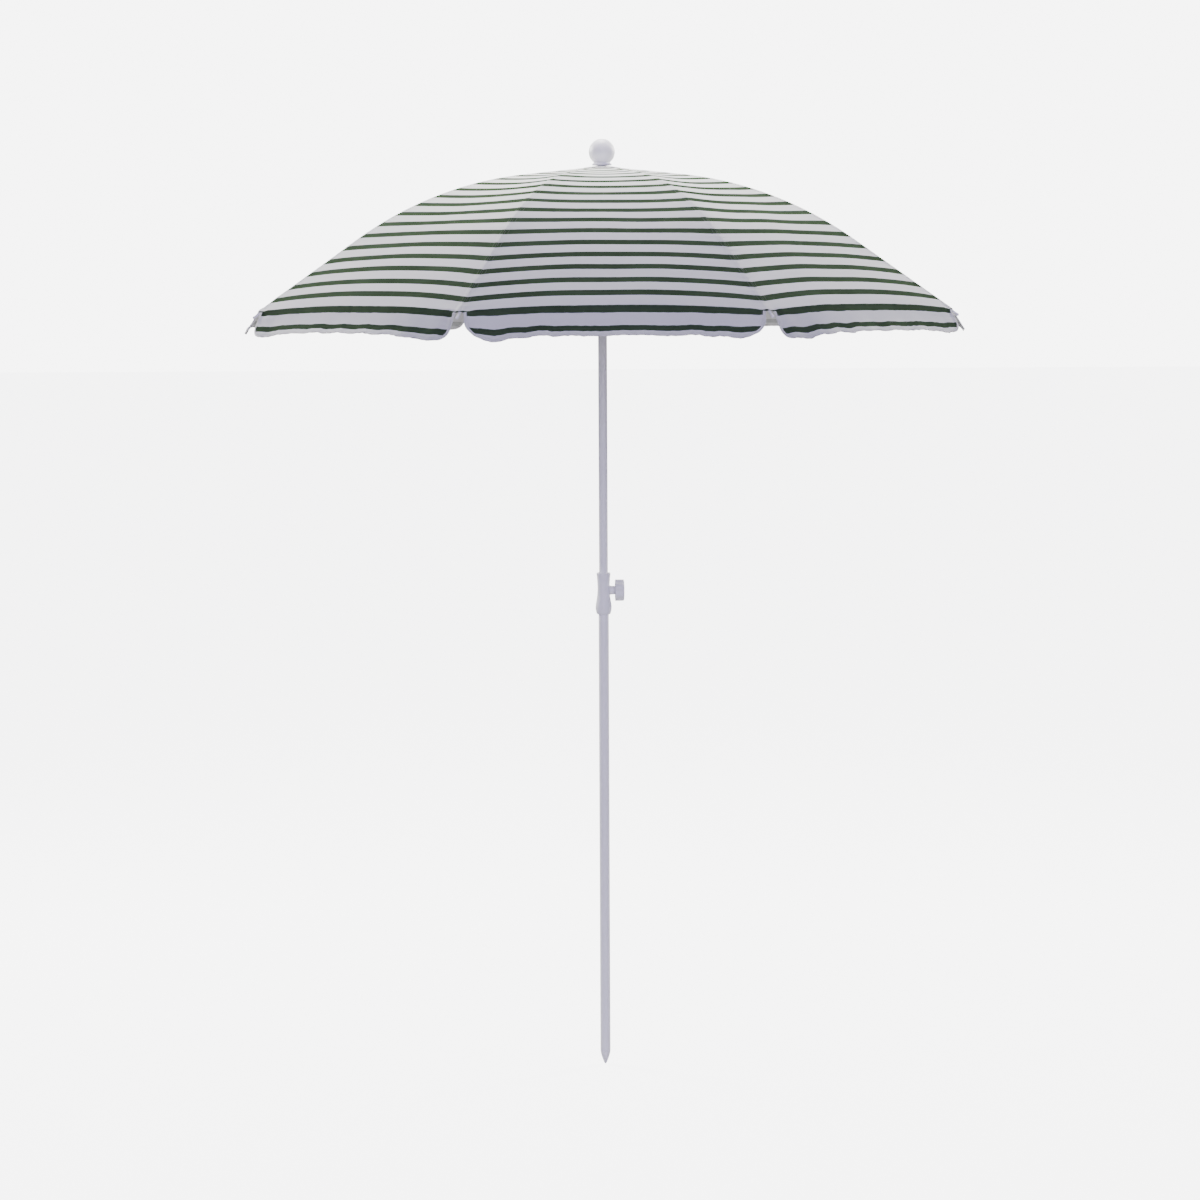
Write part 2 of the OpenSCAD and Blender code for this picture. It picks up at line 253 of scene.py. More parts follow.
def stripe_mask(down):
    """1 on the printed stripes, 0 between them."""
    row = (down - FIRST_STRIPE) / STRIPE_PITCH
    off = abs(row - row.nearest()) * STRIPE_PITCH
    half = STRIPE_HALF - down.rise(0.75, 0.76) * FLAP_STRIPE_LESS
    return 1 - (off - half).rise(-STRIPE_EDGE, STRIPE_EDGE)


def weave(across, down, pitch=0.0007):
    """Plain weave: threads that pass over and under each other."""
    turn = math.pi / pitch
    return (across * turn).sine() * (down * turn).sine()


def dashes(along):
    """1 where a row of stitches shows its thread, 0 where the thread dives into the cloth."""
    return (along * (2 * math.pi / STITCH)).sine().rise(-0.55, -0.2)


def stitch_row(distance, place):
    """1 on a row of stitches that runs place metres from an edge."""
    return 1 - abs(distance - place).rise(*THREAD_EDGE)


def canopy_cloth(name, inside=False):
    """Woven canopy cloth with printed stripes, felled seams and an overlocked hem.

    The map cloth holds (across, down), the map seams (distance to the rib seam, distance
    to the hem), and the map run the length along the hem.
    """
    finish = Finish(name)
    across, down = finish.map("cloth")
    to_seam, to_hem = finish.map("seams")
    run, _ = finish.map("run")
    stripe = stripe_mask(down)
    binding = 1 - to_hem.rise(0.0052, 0.0056)
    stripe = stripe * (1 - binding)
    cloudy = finish.noise(0.09, 4, 0.6)
    fibre = finish.noise(0.0035, 3, 0.65)
    slub = finish.noise(0.02, 2, 0.5, stretch=(1, 1, 14))

    pale = finish.mix(cloudy, shade(COTTON, 0.955), COTTON)
    pale = finish.mix(fibre.rise(0.3, 0.75) * 0.18, pale, shade(COTTON, 0.90))
    green = finish.mix(cloudy.rise(0.25, 0.75), shade(STRIPE, 0.86), shade(STRIPE, 1.16))
    green = finish.mix(fibre.rise(0.35, 0.8) * 0.3, green, shade(STRIPE, 1.35))
    if inside:
        # the print shows only faintly through the cloth
        stripe = stripe * 0.34
        # painted shade: the underside cloth is mixed a little toward grey
        pale = finish.mix(0.10, pale, INSIDE_SHADE_GREY)
    base = finish.mix(stripe, pale, green)

    # two rows of stitches on each felled seam, one row and a zigzag on the hem
    dash, hem_dash = dashes(down), dashes(run)
    seam_rows = stitch_row(to_seam, SEAM_ROWS[0]) + stitch_row(to_seam, SEAM_ROWS[1])
    hem_row = stitch_row(to_hem, HEM_ROW)
    saw = abs(run / ZIGZAG - (run / ZIGZAG).nearest()) * 2
    zigzag = 1 - abs(to_hem - (0.0012 + saw * 0.0028)).rise(0.0003, 0.0008)
    zigzag = zigzag * (1 - to_hem.rise(0.0045, 0.005))
    thread = (seam_rows.least(1.0) * dash + hem_row * hem_dash + zigzag).least(1.0)
    hole_dips_and_shade = (seam_rows * (1 - dash) + hem_row * (1 - hem_dash)).least(1.0)
    base = finish.mix(thread * (0.22 - stripe * 0.14), base, THREAD_WHITE)
    # painted shade: the stitch holes are darkened toward grey
    base = finish.mix(hole_dips_and_shade * 0.14, base, HOLE_SHADE)

    # small puckers that the seam's thread pulls into the cloth
    pull = (down * (2 * math.pi / 0.011) + cloudy * 6).sine() * (1 - to_seam.rise(0.004, 0.03))
    height = (
        weave(across, down) * 0.06
        + slub * 0.10
        + thread * 0.5
        - hole_dips_and_shade * 0.4
        + pull * 0.35
        + finish.noise(0.05, 3, 0.55) * 0.9
    )
    return finish.set(
        base_color=base,
        roughness=0.84 + fibre * 0.1 - stripe * 0.05,
        normal=finish.relief(height, CLOTH_RELIEF),
        specular_ior_level=0.0,
    )


def patch_cloth():
    """The round crown patch: plain canopy cloth with a turned and stitched edge."""
    finish = Finish("patch_cloth")
    to_hem, run = finish.map("patch")
    cloudy = finish.noise(0.06, 4, 0.6)
    fibre = finish.noise(0.0035, 3, 0.65)
    base = finish.mix(cloudy, shade(COTTON, 0.95), COTTON)
    dash = dashes(run)
    row = stitch_row(to_hem, PATCH_ROWS[0]) + stitch_row(to_hem, PATCH_ROWS[1])
    # painted shade: the stitch holes between the thread's dashes are darkened toward grey
    base = finish.mix(row * (1 - dash) * 0.35, base, HOLE_SHADE)
    height = row * dash * 0.5 - row * (1 - dash) * 0.4 + fibre * 0.1 + cloudy * 0.6
    return finish.set(
        base_color=base,
        roughness=0.8 + fibre * 0.1,
        normal=finish.relief(height, CLOTH_RELIEF),
        specular_ior_level=0.0,
    )


def pole_enamel():
    """Gloss white stove enamel on steel tube, rubbed and sandy near the ground end."""
    finish = Finish("pole_enamel")
    place = finish.value("ShaderNodeTexCoord", output=3)
    height_up = finish.value("ShaderNodeSeparateXYZ", None, {0: place}, output=2)
    peel = finish.noise(0.004, 2, 0.5)
    cloudy = finish.noise(0.12, 3, 0.6, stretch=(1, 1, 0.4))
    scuff = finish.noise(0.03, 5, 0.7, stretch=(1, 1, 0.15)).rise(0.62, 0.78)
    streak = finish.noise(0.012, 4, 0.7, stretch=(1, 1, 0.05)).rise(0.6, 0.8)
    low = 1 - height_up.rise(0.02, 0.42)
    wear = (scuff * (0.12 + low * 0.7) + streak * low * 0.5).least(1.0)
    base = finish.mix(cloudy, DULL_WHITE, BRIGHT_WHITE)
    base = finish.mix(wear * 0.55, base, (0.56, 0.54, 0.52))
    return finish.set(
        base_color=base,
        roughness=0.24 + cloudy * 0.08 + wear * 0.35,
        normal=finish.relief(peel * 0.5 + wear * -0.6, 0.00012),
        specular_ior_level=0.3,
    )


def frame_enamel():
    """White enamel on the ribs and stretchers, chipped a little to bare steel."""
    finish = Finish("frame_enamel")
    grain = finish.noise(0.002, 2, 0.5)
    chip = finish.noise(0.011, 5, 0.75).rise(0.68, 0.72)
    cloudy = finish.noise(0.07, 3, 0.6)
    base = finish.mix(cloudy, (0.70, 0.70, 0.72), (0.78, 0.78, 0.80))
    base = finish.mix(chip * 0.8, base, (0.36, 0.35, 0.34))
    return finish.set(
        base_color=base,
        roughness=0.3 + cloudy * 0.08 + chip * 0.25,
        metallic=chip * 0.7,
        normal=finish.relief(grain * 0.3 - chip * 0.5, 0.0001),
    )


def moulded_plastic():
    """White moulded plastic: a satin gloss with a faint orange peel and handling marks."""
    finish = Finish("moulded_plastic")
    peel = finish.noise(0.0022, 2, 0.5)
    cloudy = finish.noise(0.035, 3, 0.6)
    rub = finish.noise(0.01, 5, 0.75).rise(0.6, 0.85)
    base = finish.mix(cloudy, DULL_WHITE, BRIGHT_WHITE)
    base = finish.mix(rub * 0.2, base, (0.62, 0.61, 0.62))
    return finish.set(
        base_color=base,
        roughness=0.34 + cloudy * 0.1 + rub * 0.16,
        normal=finish.relief(peel * 0.5 + rub * 0.2, 0.00012),
        specular_ior_level=0.3,
    )


def zinc_plate():
    """Bright zinc plate on pressed and drawn steel."""
    finish = Finish("zinc_plate")
    grain = finish.noise(0.0012, 4, 0.7, stretch=(1, 1, 0.12))
    cloudy = finish.noise(0.012, 4, 0.65)
    base = finish.mix(cloudy, (0.50, 0.50, 0.51), (0.70, 0.70, 0.70))
    return finish.set(
        base_color=base,
        roughness=0.26 + grain * 0.16 + cloudy * 0.1,
        normal=finish.relief(grain, 0.00008),
        metallic=1.0,
    )


def turned_brass():
    """Brass with fine rings from the lathe and a little tarnish."""
    finish = Finish("turned_brass")
    rings = finish.noise(0.0006, 3, 0.7, stretch=(0.1, 1, 1))
    tarnish = finish.noise(0.003, 4, 0.7)
    base = finish.mix(tarnish, (0.62, 0.45, 0.18), (0.74, 0.56, 0.26))
    return finish.set(
        base_color=base,
        roughness=0.28 + rings * 0.15,
        normal=finish.relief(rings, 0.00006),
        metallic=1.0,
    )


def studio_floor():
    """Pale paper floor. What the lens sees of it is as bright as the backdrop behind it."""
    finish = Finish("studio_floor")
    haze = finish.noise(1.5, 3, 0.5)
    base = finish.mix(haze, (0.47, 0.47, 0.475), (0.48, 0.48, 0.485))
    seen = finish.value("ShaderNodeLightPath")
    tint = finish.mix(seen, (0.0, 0.0, 0.0), (1.0, 1.0, 1.0))
    return finish.set(
        base_color=base,
        roughness=0.95,
        emission_color=tint,
        emission_strength=BACKDROP - FLOOR_LIT,
        specular_ior_level=0.0,
    )


# ---------------------------------------------------------------- mesh making


def new_piece(name, points, faces, finishes, face_finish=None, maps=None):
    """Makes an object with smooth faces.

    maps holds a pair of numbers per point for each named map.
    """
    mesh = bpy.data.meshes.new(name)
    mesh.from_pydata([tuple(p) for p in points], [], [tuple(int(k) for k in f) for f in faces])
    for finish in finishes:
        mesh.materials.append(finish)
    if face_finish is not None:
        mesh.polygons.foreach_set("material_index", np.asarray(face_finish, np.int32))
    corner = np.empty(len(mesh.loops), np.int32)
    mesh.loops.foreach_get("vertex_index", corner)
    for title, pairs in (maps or {}).items():
        layer = mesh.uv_layers.new(name=title)
        layer.data.foreach_set("uv", np.asarray(pairs, np.float32)[corner].ravel())
    mesh.polygons.foreach_set("use_smooth", [True] * len(mesh.polygons))
    mesh.update()
    made = bpy.data.objects.new(name, mesh)
    bpy.context.scene.collection.objects.link(made)
    return made


def lathe(profile, turns=96, squeeze=None):
    """Points and faces of a turned shape; profile is [(radius, height)] in mm, closed on itself.

    squeeze(angle, radius, height) gives a new radius.
    """
    points, faces = [], []
    n = len(profile)
    for k in range(turns):
        a = 2 * math.pi * k / turns
        for r, z in profile:
            q = squeeze(a, r, z) if squeeze else r
            points.append((q * math.cos(a) * MM, q * math.sin(a) * MM, z * MM))
    for k in range(turns):
        for j in range(n):
            m = (j + 1) % n
            a, b = k * n, ((k + 1) % turns) * n
            faces.append((a + j, b + j, b + m, a + m))
    return points, faces


def spline(knots, count):
    """A smooth line through knots [(r, z)], as Catmull and Rom draw it."""
    p = np.array([knots[0], *knots, knots[-1]], float)
    out = []
    for k in range(1, len(p) - 2):
        for i in range(count):
            t = i / count
            out.append(
                0.5 * (2 * p[k] + (p[k + 1] - p[k - 1]) * t
                       + (2 * p[k - 1] - 5 * p[k] + 4 * p[k + 1] - p[k + 2]) * t * t
                       + (3 * p[k] - p[k - 1] - 3 * p[k + 1] + p[k + 2]) * t ** 3)
            )
    out.append(p[-2])
    return [tuple(q) for q in out]


# ---------------------------------------------------------------- canopy

CROWN_Z = 1943.0
CROWN_SLOPE, RIM_SLOPE = math.radians(6.5), math.radians(34.5)
BEND_FROM, BEND_TO = 180.0, 580.0
BEND_R = (BEND_TO - BEND_FROM) / (RIM_SLOPE - CROWN_SLOPE)
RIM_DOWN = 771.0
HEM_DOWN = 843.0
TOP_DOWN = 25.0
FLAP_HALF = 281.0
CORNER = {1: 48.0, 5: 44.0}  # corner radius of a gore's flap
PLAIN_CORNER = 30.0  # the same on the gores that are not listed
NOTCH_FALL = 1.6  # how quickly the cloth narrows below the rib's end
SEAM_WIDE, HEM_WIDE, FOLD_EDGE = 9.4, 9.2, 1.2
CLOTH_THICK, HEM_THICK = 0.7, 0.9
SEAM_RISE, HEM_RISE = 0.4, 0.35
FAR = 50.0  # stands for a distance too long to matter


def rib_line(s):
    """(radius, height) of the cloth over a rib, at length s from the pole's axis."""
    a = np.clip((s - BEND_FROM) / BEND_R, 0, RIM_SLOPE - CROWN_SLOPE) + CROWN_SLOPE
    k, far = np.minimum(s, BEND_FROM), np.maximum(s - BEND_TO, 0)
    r = (
        k * math.cos(CROWN_SLOPE)
        + BEND_R * (np.sin(a) - math.sin(CROWN_SLOPE))
        + far * math.cos(RIM_SLOPE)
    )
    z = (
        CROWN_Z
        - k * math.sin(CROWN_SLOPE)
        - BEND_R * (math.cos(CROWN_SLOPE) - np.cos(a))
        - far * math.sin(RIM_SLOPE)
    )
    return r, z


def rib_length(down):
    """Length along the rib of a line that is down mm from the crown along a gore's middle."""
    return 1.0659 * down + 9.1


# height of a gore's middle over the straight line between its two ribs
BELLY_DOWN = [0, 90, 219, 262, 348, 391, 434, 477, 520, 563, 606, 649, 692, 735, 771]
BELLY_UP = [0, -1.6, -3.3, -4.2, -4.5, -4.0, -2.9, -0.4, 2.5, 5.2, 7.8, 10.3, 10.9, 13.3, 11.0]

# how far the hem of each gore's flap stands out and hangs down, under the rim
FLAP_OUT = {1: 43, 2: 50, 3: 42, 4: 52, 5: 48, 6: 52, 7: 42, 8: 50}
FLAP_FALL = {1: 56, 2: 51, 3: 45, 4: 50, 5: 52, 6: 50, 7: 44, 8: 51}
# the same at the flap's two ends; the first of a pair is the end on the lower-numbered side
END_OUT = 28
END_FALL = {
    1: (51, 51), 2: (58, 48), 3: (46, 45), 4: (46, 50),
    5: (48, 47), 6: (51, 46), 7: (45, 46), 8: (52, 58),
}
# how much further the hem sags beside each rounded corner
DROOP = {
    1: (9, 2), 2: (2, 3), 3: (4, 2), 4: (3, 5),
    5: (4, 3), 6: (2, 5), 7: (3, 4), 8: (3, 2),
}
DROOP_AT, DROOP_WIDE = 0.76, 0.1  # as shares of the gore's half width
BOW_OUT, BOW_DOWN = 9.0, 18.0  # how the flap's middle bellies between its rim and its hem

# sizes of the loose cloth's waves and folds, in mm
SLOW_WAVE, SEAM_PULL, PULL_REACH = 2.0, 1.7, 16
RIM_FINE, RIM_FOLD, RIM_MIDDLE, RIM_REACH = 0.9, 0.8, 18, 26
FOLD_OUT, FINE_OUT, FOLD_UP, FINE_UP = 5.0, 1.0, 3.2, 1.2
PUCKER, PUCKER_REACH, PUCKER_FALL, PUCKER_LENGTH = 2.2, 24, 34, 5.2


def ripples(seed, count, low, high):
    """A smooth wave of one variable, from about -1 to about 1, with lengths from low to high."""
    pick = np.random.RandomState(seed)
    lengths = np.exp(pick.uniform(math.log(low), math.log(high), count))
    starts, sizes = pick.uniform(0, 2 * math.pi, count), pick.uniform(0.5, 1, count)
    sizes /= sizes.sum()

    def wave(x):
        return sum(a * np.sin(2 * math.pi * x / w + p) for a, w, p in zip(sizes, lengths, starts))

    return wave


def cloth_rows(corner):
    """Distances down the gore at which the mesh has a row."""
    upper = list(np.linspace(TOP_DOWN, RIM_DOWN - 6, 104))
    rim = list(np.linspace(RIM_DOWN - 4, RIM_DOWN + 8, 7))
    flap = list(np.linspace(RIM_DOWN + 10.5, HEM_DOWN - corner, 12))
    turn = list(HEM_DOWN - corner + corner * np.sin(np.linspace(0.12, 0.5 * math.pi, 14)))
    return np.array(upper + rim + flap + turn)


def half_width(down, corner):
    """Half the width of the cloth across the gore."""
    r, _ = rib_line(rib_length(min(down, RIM_DOWN)))
    seam = r * math.sin(HALF)
    if down <= RIM_DOWN:
        return seam
    w = FLAP_HALF + (seam - FLAP_HALF) * math.exp(-(down - RIM_DOWN) / NOTCH_FALL)
    low = down - (HEM_DOWN - corner)
    if low > 0:
        w -= corner - math.sqrt(max(corner ** 2 - low ** 2, 0))
    return w


# distances from the cloth's edge at which each row has a point, for the seam and the hem
TRIM = np.array([0, 1.2, 5.2, 6.4, 9.4, 10.6, 14, 19])


def cloth_columns(width):
    """Places across the gore at which a row of that half width has a point."""
    scale = min(1.0, width / 60)
    edge = width - TRIM * scale
    inner = np.linspace(-edge[-1], edge[-1], 62)[1:-1]
    return np.concatenate([-edge, inner, edge[::-1]])


def gore_surface(i, side, down, width):
    """Where points of gore i lie in the gore's own frame, in mm.

    Gives how far out and how far up each one is, and how far loose cloth lifts off from there.
    """
    r, z = rib_line(rib_length(np.minimum(down, RIM_DOWN)))
    chord = r * math.sin(HALF)
    u = np.clip(side / chord, -1, 1)
    belly = np.interp(down, BELLY_DOWN, BELLY_UP)
    power = np.interp(down, [0, 480, 735], [2.0, 2.0, 2.4])
    crown = 1 - np.abs(u) ** power
    out = r * math.cos(HALF)
    up = z + belly * crown

    # the flap hangs from the rim
    fall = np.clip((down - RIM_DOWN) / (HEM_DOWN - RIM_DOWN), 0, 1)
    middle = 1 - np.abs(u) ** 2.2
    bow = fall * (1 - fall)
    ends = np.where(u < 0, END_FALL[i][0], END_FALL[i][1])
    out += fall * (FLAP_OUT[i] * middle + END_OUT * (1 - middle)) + bow * BOW_OUT * middle
    up -= fall * (FLAP_FALL[i] * middle + ends * (1 - middle)) + bow * BOW_DOWN * middle

    # loose cloth: slow waves on the gore, small pulls along the seams, soft folds on the flap,
    # and puckers beside the flap's upper corners
    slow, along = ripples(10 * i + 1, 5, 160, 420), ripples(10 * i + 2, 5, 90, 260)
    edge_left, edge_right = ripples(10 * i + 3, 9, 9, 34), ripples(10 * i + 4, 9, 9, 34)
    folds, fine = ripples(10 * i + 5, 7, 46, 150), ripples(10 * i + 6, 8, 14, 40)
    body = (1 - u ** 2) * np.clip(down / 300, 0, 1)
    lift = SLOW_WAVE * body * slow(side + 0.4 * down) * (0.5 + 0.5 * along(down))
    lower_part = np.clip(down / 200, 0, 1)
    for sign, wave in ((-1, edge_left), (1, edge_right)):
        d = np.clip(width - sign * side, 0, None) / PULL_REACH
        lift += SEAM_PULL * wave(down) * d * np.exp(1 - d) * lower_part * (1 - fall)
    near_rim = np.exp(-((down - RIM_DOWN - RIM_MIDDLE) / RIM_REACH) ** 2)
    lift += near_rim * (1 - u ** 4) * (RIM_FINE * fine(side) + RIM_FOLD * folds(side))
    out += fall ** 1.4 * FOLD_OUT * folds(side + 17 * i) + fall * FINE_OUT * fine(side)
    up += fall * (FOLD_UP * folds(side + 60 + 31 * i) + FINE_UP * fine(side + 40))
    droop = np.where(u < 0, DROOP[i][0], DROOP[i][1])
    up -= fall * droop * np.exp(-((np.abs(u) - DROOP_AT) / DROOP_WIDE) ** 2)
    inset = width - np.abs(side)
    past_rim = np.clip(down - RIM_DOWN, 0, None)
    from_rim = np.clip((down - RIM_DOWN + 30) / 30, 0, 1)
    corner = np.exp(-(inset / PUCKER_REACH)) * from_rim * np.exp(-past_rim / PUCKER_FALL)
    lift += corner * PUCKER * np.sin(inset / PUCKER_LENGTH + i) * np.clip(inset / 6, 0, 1)
    return out, up, lift


def canopy_gore(i, outer_cloth, inner_cloth):
    """One of the eight cut pieces of cloth, from the crown to the hem of its flap."""
    turn_r = CORNER.get(i, PLAIN_CORNER)
    rows = cloth_rows(turn_r)
    widths = np.array([half_width(d, turn_r) for d in rows])
    grid = np.array([cloth_columns(w) for w in widths])
    n, m = grid.shape
    down = np.repeat(rows[:, None], m, 1)
    wide = np.repeat(widths[:, None], m, 1)
    out, up, lift = gore_surface(i, grid, down, wide)
    place = np.stack([out, grid, up], -1)
    normal = np.cross(np.gradient(place, axis=1), np.gradient(place, axis=0))
    normal /= np.linalg.norm(normal, axis=-1, keepdims=True)
    if normal[n // 2, m // 2, 2] < 0:
        normal = -normal

    # distances to the seam and to the hem, in the flat cloth
    free = down > RIM_DOWN + 3
    to_seam = np.where(free, FAR, wide - np.abs(grid))
    low = down - (HEM_DOWN - turn_r)
    ax = np.abs(grid) - (FLAP_HALF - turn_r)
    to_corner = turn_r - np.hypot(np.maximum(ax, 0), np.maximum(low, 0))
    to_edge = np.minimum(FLAP_HALF - np.abs(grid), HEM_DOWN - down)
    to_hem = np.where(free, np.where((ax > 0) & (low > 0), to_corner, to_edge), FAR)
    to_hem = np.clip(to_hem, 0, 60)
    angle = np.arctan2(np.maximum(low, 0), np.maximum(ax, 1e-6))
    run = np.where(
        low > 0,
        np.where(ax > 0, FLAP_HALF - turn_r + turn_r * (math.pi / 2 - angle), np.abs(grid)),
        FLAP_HALF - turn_r + turn_r * math.pi / 2 + (HEM_DOWN - turn_r - down),
    ) * np.where(grid < 0, -1, 1)

    # felled seam on one side of each rib, folded hem round the flap
    step = 1 - np.clip((to_seam - SEAM_WIDE) / FOLD_EDGE, 0, 1)
    below_patch = np.clip((rows[:, None] - 40) / 60, 0, 1)
    seam_up = SEAM_RISE * step * (grid > 0) * below_patch
    hem_fold = 1 - np.clip((to_hem - HEM_WIDE) / FOLD_EDGE, 0, 1)
    lift = lift + seam_up + HEM_RISE * hem_fold
    top = place + normal * lift[..., None]
    thick = CLOTH_THICK + HEM_THICK * hem_fold + 0.3 * seam_up
    base = top - normal * thick[..., None]

    turn = -math.pi / 2 + (i - 1) * 2 * HALF
    c, s = math.cos(turn), math.sin(turn)

    def world(p):
        x, y, z = p[..., 0].ravel(), p[..., 1].ravel(), p[..., 2].ravel()
        return np.stack([c * x - s * y, s * x + c * y, z], -1) * MM

    points = np.concatenate([world(top), world(base)])
    k = np.arange(n * m).reshape(n, m)
    a, b, d, e = k[:-1, :-1].ravel(), k[:-1, 1:].ravel(), k[1:, 1:].ravel(), k[1:, :-1].ravel()
    upper = np.stack([a, e, d, b], -1)
    lower = np.stack([a, b, d, e], -1) + n * m
    ring = np.concatenate([k[0, :-1], k[:-1, -1], k[-1, :0:-1], k[:0:-1, 0]])
    after = np.roll(ring, -1)
    rim = np.stack([ring, after, after + n * m, ring + n * m], -1)
    faces = np.concatenate([upper, lower, rim])
    which = np.concatenate([np.zeros(len(upper)), np.ones(len(lower)), np.zeros(len(rim))])

    def flat(x, y):
        return np.tile(np.stack([x.ravel(), y.ravel()], -1) * MM, (2, 1))

    made = new_piece(
        f"canopy_gore_{i}",
        points,
        faces,
        [outer_cloth, inner_cloth],
        which,
        {"cloth": flat(grid, down), "seams": flat(to_seam, to_hem), "run": flat(run, 0 * run)},
    )
    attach(made, f"gore_{i}")
    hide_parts(f"gore_{i}")
    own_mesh(made)


def crown_patch(cloth):
    """Round patch over the tops of the gores, under the finial's foot."""
    outer_r, inner_r, rings, turns = 40.0, 9.6, 14, 96
    hem_wide, thick, hem_thick = 5.5, 0.55, 0.35
    points, pairs, faces = [], [], []
    for layer in (0, 1):
        for j in range(rings):
            r = inner_r + (outer_r - inner_r) * j / (rings - 1)
            fold = 1 - min(max((outer_r - r - hem_wide) / 1.5, 0), 1)
            for k in range(turns):
                a = 2 * math.pi * k / turns
                ribbed = 0.35 * math.cos(RIBS * (a - HALF)) * r / outer_r
                z = CROWN_Z + 1.35 - r * math.tan(CROWN_SLOPE) + ribbed
                z -= 0.6 * (r / outer_r) ** 6
                z -= (thick + hem_thick * fold) * layer
                points.append((r * math.cos(a) * MM, r * math.sin(a) * MM, z * MM))
                pairs.append(((outer_r - r) * MM, a * r * MM))
    block = rings * turns
    for j in range(rings - 1):
        for k in range(turns):
            a, b = j * turns + k, j * turns + (k + 1) % turns
            c, d = a + turns, b + turns
            faces.append((a, c, d, b))
            faces.append((a + block, b + block, d + block, c + block))
    for k in range(turns):
        n = (k + 1) % turns
        faces.append((k, n, n + block, k + block))
        o = (rings - 1) * turns
        faces.append((o + k, o + k + block, o + n + block, o + n))
    made = new_piece("crown_patch", points, faces, [cloth], maps={"patch": pairs})
    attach(made, "upper_pole")
    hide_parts("top_patch")


# ---------------------------------------------------------------- pole pieces

BOSS_Z = 1043  # height of the boss, the knob and the screw's line


def place_piece(made, body, node):
    """Rides the piece on its body, in the place of the frame's node."""
    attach(made, body)
    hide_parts(node)


def lower_pole(enamel):
    """Steel tube with two pressed dimples, drawn a little thinner where the collar grips it."""
    mid, tall, half_wide, deep = 844.0, 13.5, 5.4, 1.6
    wall_r, gripped_r, bore_r, collar_foot = 11.0, 10.7, 9.8, 992

    def pressed(a, r, z):
        gap = min(abs((a - math.pi / 2) % math.pi), math.pi - (a - math.pi / 2) % math.pi)
        u = (gap * wall_r / half_wide) ** 2 + ((z - mid) / tall) ** 2
        return r - deep * (1 - u) ** 2 * (1.0 if u < 1 else 0.0)

    heights = [31.0, 31.4, 32.5]
    heights += list(np.linspace(60, 820, 20)) + list(np.linspace(828, 860, 33))
    heights += [900, 940, 975, 991.5, 992.0, 1030, 1066.0]
    wall = [(10.6, 31.0)]
    wall += [(wall_r if z < collar_foot else gripped_r, z) for z in heights[1:]]
    bore = [(bore_r, z) for z in reversed(heights)]
    points, faces = lathe(wall + bore, 120, pressed)
    made = new_piece("pole_lower_tube", points, faces, [enamel])
    place_piece(made, "lower_pole", "lower_tube")


def crimped_spike(enamel):
    """The tube's end pressed into four folds that meet in a point."""

    def pressed(a, r, z):
        if r < 0.01 or z > 30:
            return r
        share = min(max((30 - z) / 26, 0), 1)
        share = share * share * (3 - 2 * share)
        fold = 0.5 + 0.5 * math.cos(4 * a)
        return r * (1 - 0.52 * share * (1 - fold) ** 1.3) * (1 - 0.05 * share)

    side = [
        (0.0, 0.0), (1.2, 0.15), (2.2, 1.2), (3.2, 3.0), (4.3, 5.4), (5.4, 8.0), (6.5, 11.0),
        (7.7, 14.5), (8.8, 18.0), (9.7, 21.5), (10.4, 25.0), (10.85, 28.0), (10.95, 29.4),
        (10.7, 30.2), (10.3, 30.6), (10.3, 31.0), (9.8, 31.2), (9.8, 66.0), (0.0, 66.0),
    ]
    points, faces = lathe(side, 96, pressed)
    made = new_piece("pole_spike", points, faces, [enamel])
    place_piece(made, "lower_pole", "ground_spike")


def height_collar(plastic):
    """Moulded collar, with a boss that flares where it grows out of the waist."""
    waist = [
        (14.3, 992), (15.7, 995.6), (16.8, 1000.6), (17.3, 1006), (16.9, 1011.4),
        (15.9, 1018), (14.7, 1025.5), (13.7, 1033), (13.1, 1041), (13.0, 1049),
        (13.35, 1059), (13.9, 1068), (14.3, 1073.2),
    ]
    lip = [
        (14.3, 1073.8), (14.6, 1074.6), (14.85, 1075.4), (14.85, 1079.2), (14.6, 1080.3),
        (13.9, 1080.9), (13.0, 1081), (10.4, 1081), (9.9, 1080.6), (9.8, 1080),
    ]
    foot = [(9.8, 1066.2), (10.75, 1066), (10.75, 992.4), (11.4, 992.0)]
    points, faces = lathe(spline(waist, 4) + lip + foot, 128)
    # rings (distance out, radius) along +X, the first ones inside the collar's wall
    boss = [
        (11.6, 11.6), (12.6, 10.8), (13.6, 10.1), (15.0, 9.6), (16.8, 9.3), (19.0, 9.2),
        (22.6, 9.2), (23.6, 9.0), (24.2, 8.6), (24.4, 8.0), (24.4, 4.4), (11.6, 4.4),
    ]
    n, turns = len(points), 64
    for x, r in boss:
        for k in range(turns):
            a = 2 * math.pi * k / turns
            points.append((x * MM, r * math.cos(a) * MM, (BOSS_Z + r * math.sin(a)) * MM))
    for j in range(len(boss)):
        for k in range(turns):
            a, b = n + j * turns, n + ((j + 1) % len(boss)) * turns
            q = (k + 1) % turns
            faces.append((a + k, a + q, b + q, b + k))
    made = new_piece("height_collar", points, faces, [plastic])
    place_piece(made, "lower_pole", "clamp_collar")


